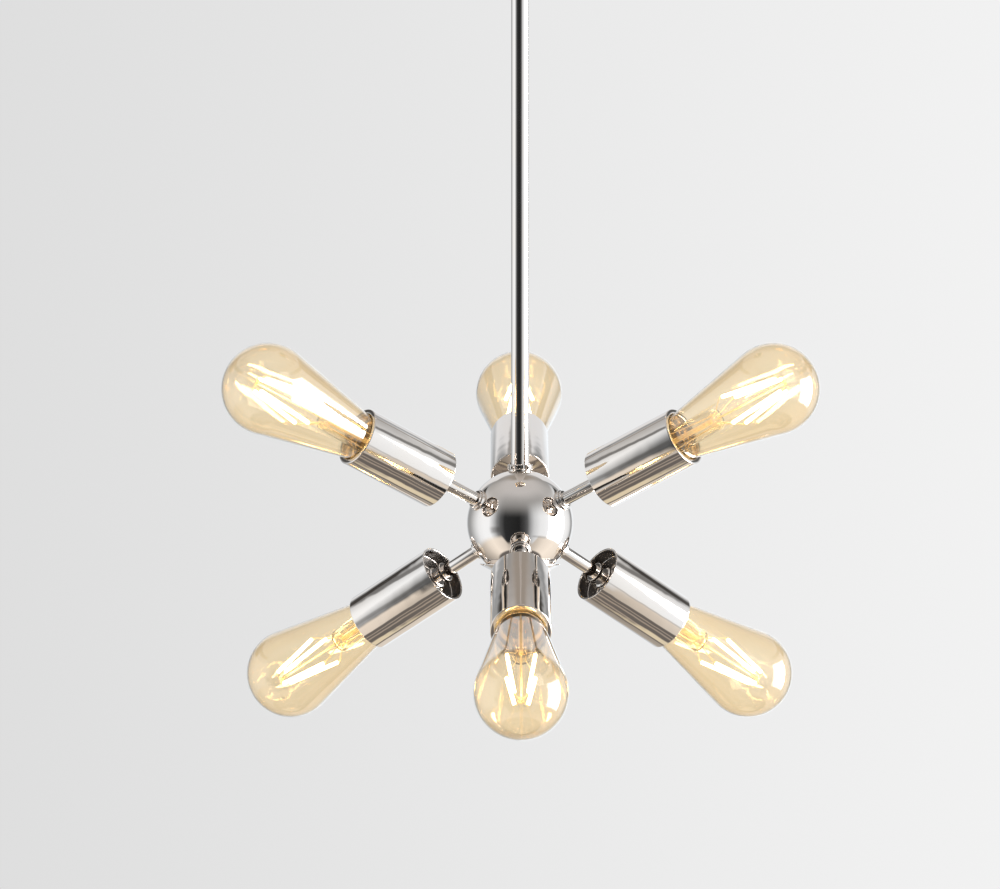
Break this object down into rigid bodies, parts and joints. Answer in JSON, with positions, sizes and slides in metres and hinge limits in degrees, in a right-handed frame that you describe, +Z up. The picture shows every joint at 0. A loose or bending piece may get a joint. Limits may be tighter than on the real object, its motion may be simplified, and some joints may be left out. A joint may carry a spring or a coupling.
{
  "type": "multi arm chandelier",
  "caption": "Cluster pendant: hollow ball hub on a rigid swivel stem, with rising and falling arms ending in tubular socket sleeves and long amber filament bulbs.",
  "frame": {"origin": "centre of the two ceiling box screw holes, on the ceiling plane", "axes": "+Z up out of the ceiling; the light hangs along -Z; one falling arm points to -Y (the front) and one rising arm to +Y; the two box holes lie along X"},
  "size_m": [0.411, 0.4557, 0.6225],
  "materials": {
    "polished_nickel": "mirror-polished nickel plate",
    "zinc_steel": "zinc-plated steel",
    "green_screw": "green dyed earth screw",
    "brass": "plain turned brass",
    "nylon": "natural nylon",
    "lead_insulation": "insulated stranded lead",
    "splice_plastic": "moulded splice cap",
    "phenolic": "dark moulded phenolic",
    "porcelain": "cream glazed lampholder body",
    "amber_glass": "clear amber-tinted glass",
    "bulb_cap": "rolled-thread lamp cap",
    "bulb_insulator": "black glass insulator with soldered contact",
    "led_filament": "lit phosphor filament on wire supports"
  },
  "bodies": {
    "ceiling_fitting": {"box_strap": "zinc_steel", "canopy_strap": "zinc_steel", "strap_rivet": "zinc_steel", "ground_screw": "green_screw", "canopy_screws": "zinc_steel", "canopy": "polished_nickel", "cap_nuts": "polished_nickel", "swivel_cup": "polished_nickel"},
    "swivel_seat": {"seat_ring": "nylon"},
    "chandelier": {"swivel_ball": "polished_nickel", "ball_nut": "brass", "stem_nipple": "brass", "stem": "polished_nickel", "stem_collar": "polished_nickel", "stem_nut": "brass", "hub_ball": "polished_nickel", "hub_bridge": "zinc_steel", "hub_dish": "polished_nickel", "dish_finial": "polished_nickel", "stem_leads": "lead_insulation", "arm_leads": "lead_insulation", "splice_caps": "splice_plastic", "arm_tubes": "polished_nickel", "hub_collars": "polished_nickel", "arm_nuts": "brass", "sleeve_nuts": "polished_nickel", "sleeve_liners": "phenolic", "lampholders": "porcelain", "screw_shells": "brass", "contact_tabs": "brass", "sleeve_ub": "polished_nickel", "sleeve_ul": "polished_nickel", "sleeve_ur": "polished_nickel", "sleeve_lf": "polished_nickel", "sleeve_ll": "polished_nickel", "sleeve_lr": "polished_nickel"},
    "bulb_contact_ub_body": {"bulb_contact_ub": "bulb_insulator"},
    "bulb_ub": {"bulb_glass_ub": "amber_glass", "bulb_base_ub": "bulb_cap", "filament_ub": "led_filament"},
    "bulb_contact_ul_body": {"bulb_contact_ul": "bulb_insulator"},
    "bulb_ul": {"bulb_glass_ul": "amber_glass", "bulb_base_ul": "bulb_cap", "filament_ul": "led_filament"},
    "bulb_contact_ur_body": {"bulb_contact_ur": "bulb_insulator"},
    "bulb_ur": {"bulb_glass_ur": "amber_glass", "bulb_base_ur": "bulb_cap", "filament_ur": "led_filament"},
    "bulb_contact_lf_body": {"bulb_contact_lf": "bulb_insulator"},
    "bulb_lf": {"bulb_glass_lf": "amber_glass", "bulb_base_lf": "bulb_cap", "filament_lf": "led_filament"},
    "bulb_contact_ll_body": {"bulb_contact_ll": "bulb_insulator"},
    "bulb_ll": {"bulb_glass_ll": "amber_glass", "bulb_base_ll": "bulb_cap", "filament_ll": "led_filament"},
    "bulb_contact_lr_body": {"bulb_contact_lr": "bulb_insulator"},
    "bulb_lr": {"bulb_glass_lr": "amber_glass", "bulb_base_lr": "bulb_cap", "filament_lr": "led_filament"}
  },
  "joints": [
    {"name": "stem_turn", "type": "hinge", "parent": "ceiling_fitting", "child": "swivel_seat", "pos_m": [0, 0, -0.027], "axis": [0, 0, 1], "range_deg": [-175, 175]},
    {"name": "stem_tilt", "type": "hinge", "parent": "swivel_seat", "child": "chandelier", "pos_m": [0, 0, -0.027], "axis": [1, 0, 0], "range_deg": [-20, 20]},
    {"name": "bulb_ub_travel", "type": "slide", "parent": "chandelier", "child": "bulb_contact_ub_body", "axis": [0, 0.9063, 0.4226], "range_m": [0, 0.01816]},
    {"name": "bulb_ub_screw", "type": "hinge", "parent": "bulb_contact_ub_body", "child": "bulb_ub", "pos_m": [0, 0, -0.48], "axis": [0, 0.9063, 0.4226], "range_deg": [0, 1800]},
    {"name": "bulb_ul_travel", "type": "slide", "parent": "chandelier", "child": "bulb_contact_ul_body", "axis": [-0.7849, -0.4532, 0.4226], "range_m": [0, 0.01816]},
    {"name": "bulb_ul_screw", "type": "hinge", "parent": "bulb_contact_ul_body", "child": "bulb_ul", "pos_m": [0, 0, -0.48], "axis": [-0.7849, -0.4532, 0.4226], "range_deg": [0, 1800]},
    {"name": "bulb_ur_travel", "type": "slide", "parent": "chandelier", "child": "bulb_contact_ur_body", "axis": [0.7849, -0.4532, 0.4226], "range_m": [0, 0.01816]},
    {"name": "bulb_ur_screw", "type": "hinge", "parent": "bulb_contact_ur_body", "child": "bulb_ur", "pos_m": [0, 0, -0.48], "axis": [0.7849, -0.4532, 0.4226], "range_deg": [0, 1800]},
    {"name": "bulb_lf_travel", "type": "slide", "parent": "chandelier", "child": "bulb_contact_lf_body", "axis": [0, -0.866, -0.5], "range_m": [0, 0.01816]},
    {"name": "bulb_lf_screw", "type": "hinge", "parent": "bulb_contact_lf_body", "child": "bulb_lf", "pos_m": [0, 0, -0.48], "axis": [0, -0.866, -0.5], "range_deg": [0, 1800]},
    {"name": "bulb_ll_travel", "type": "slide", "parent": "chandelier", "child": "bulb_contact_ll_body", "axis": [-0.75, 0.433, -0.5], "range_m": [0, 0.01816]},
    {"name": "bulb_ll_screw", "type": "hinge", "parent": "bulb_contact_ll_body", "child": "bulb_ll", "pos_m": [0, 0, -0.48], "axis": [-0.75, 0.433, -0.5], "range_deg": [0, 1800]},
    {"name": "bulb_lr_travel", "type": "slide", "parent": "chandelier", "child": "bulb_contact_lr_body", "axis": [0.75, 0.433, -0.5], "range_m": [0, 0.01816]},
    {"name": "bulb_lr_screw", "type": "hinge", "parent": "bulb_contact_lr_body", "child": "bulb_lr", "pos_m": [0, 0, -0.48], "axis": [0.75, 0.433, -0.5], "range_deg": [0, 1800]}
  ],
  "couplings": [
    {"joint": "bulb_ub_travel", "follows": "bulb_ub_screw", "m_per_rad": 0.00057757},
    {"joint": "bulb_ul_travel", "follows": "bulb_ul_screw", "m_per_rad": 0.00057757},
    {"joint": "bulb_ur_travel", "follows": "bulb_ur_screw", "m_per_rad": 0.00057757},
    {"joint": "bulb_lf_travel", "follows": "bulb_lf_screw", "m_per_rad": 0.00057757},
    {"joint": "bulb_ll_travel", "follows": "bulb_ll_screw", "m_per_rad": 0.00057757},
    {"joint": "bulb_lr_travel", "follows": "bulb_lr_screw", "m_per_rad": 0.00057757}
  ]
}
